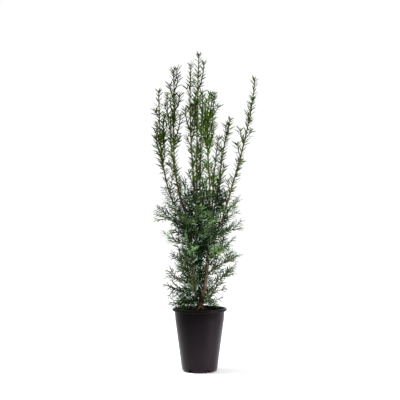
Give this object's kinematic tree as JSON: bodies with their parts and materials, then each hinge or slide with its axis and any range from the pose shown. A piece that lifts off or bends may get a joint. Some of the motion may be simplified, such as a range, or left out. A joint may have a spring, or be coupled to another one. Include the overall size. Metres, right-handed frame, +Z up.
{
  "type": "potted yew",
  "caption": "Young yew shrub with a short forked trunk, slim upright shoots and spreading needle sprays, growing in a round tapered nursery pot.",
  "frame": {"origin": "middle of the pot's flat underside", "axes": "+Z up along the plant, -Y towards the side that the picture shows, +X to the right seen from there"},
  "size_m": [0.3371, 0.2669, 0.993],
  "materials": {
    "pot": "charcoal satin moulded plastic",
    "soil": "moist bark compost",
    "bark": "reddish brown flaking bark",
    "shoot_needles": "fresh green waxy needles",
    "spray_needles": "dark green waxy needles"
  },
  "bodies": {
    "root": {"bough_back_left": "bark", "bough_back_right": "bark", "bough_centre_left": "bark", "bough_far_left": "bark", "bough_far_right": "bark", "bough_right": "bark", "bough_tallest": "bark", "pot": "pot", "shoot_back": "shoot_needles", "shoot_back_left": "shoot_needles", "shoot_back_right": "shoot_needles", "shoot_centre_left": "shoot_needles", "shoot_centre_right": "shoot_needles", "shoot_far_left": "shoot_needles", "shoot_far_right": "shoot_needles", "shoot_left": "shoot_needles", "shoot_right": "shoot_needles", "shoot_tallest": "shoot_needles", "soil": "soil", "spray_back_foot": "spray_needles", "spray_back_left_high": "spray_needles", "spray_back_left_low": "spray_needles", "spray_back_middle": "spray_needles", "spray_back_right_high": "spray_needles", "spray_back_right_low": "spray_needles", "spray_back_top": "spray_needles", "spray_front_centre": "spray_needles", "spray_front_left": "spray_needles", "spray_front_low": "spray_needles", "spray_front_peak": "spray_needles", "spray_front_right": "spray_needles", "spray_front_top": "spray_needles", "spray_left_back": "spray_needles", "spray_left_foot": "spray_needles", "spray_left_high": "spray_needles", "spray_left_inner": "spray_needles", "spray_left_low": "spray_needles", "spray_left_middle": "spray_needles", "spray_left_peak": "spray_needles", "spray_left_top": "spray_needles", "spray_left_upright": "spray_needles", "spray_pot_left": "spray_needles", "spray_pot_right": "spray_needles", "spray_right_foot": "spray_needles", "spray_right_fringe": "spray_needles", "spray_right_front": "spray_needles", "spray_right_high": "spray_needles", "spray_right_inner": "spray_needles", "spray_right_low": "spray_needles", "spray_right_middle": "spray_needles", "spray_right_peak": "spray_needles", "spray_right_top": "spray_needles", "stem_back": "bark", "stem_left": "bark", "trunk": "bark"}
  },
  "joints": []
}
